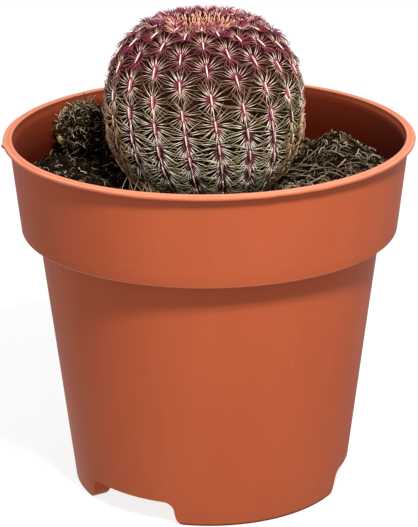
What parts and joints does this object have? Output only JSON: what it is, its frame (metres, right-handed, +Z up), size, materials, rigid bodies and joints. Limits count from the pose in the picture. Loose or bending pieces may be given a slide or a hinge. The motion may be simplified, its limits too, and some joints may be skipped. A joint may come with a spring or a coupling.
{
  "type": "potted round cactus",
  "caption": "Round ribbed cactus with comb-like pink and cream spines, growing in peat soil in a tapered terracotta-coloured plastic nursery pot with a wide band, a lip and notched feet.",
  "frame": {"origin": "middle of the pot's foot ring, on the surface that the pot stands on", "axes": "+Z up along the pot's axis, which is the longest extent; -Y is the front of the picture and +X its right"},
  "size_m": [0.105, 0.105, 0.1264],
  "materials": {
    "pot_plastic": "satin",
    "peat": "matte",
    "cactus_skin": "satin",
    "cactus_spines": "satin"
  },
  "bodies": {
    "root": {"pot": "pot_plastic", "potting_soil": "peat", "peat_clump": "peat", "cactus": "cactus_skin"}
  },
  "joints": []
}
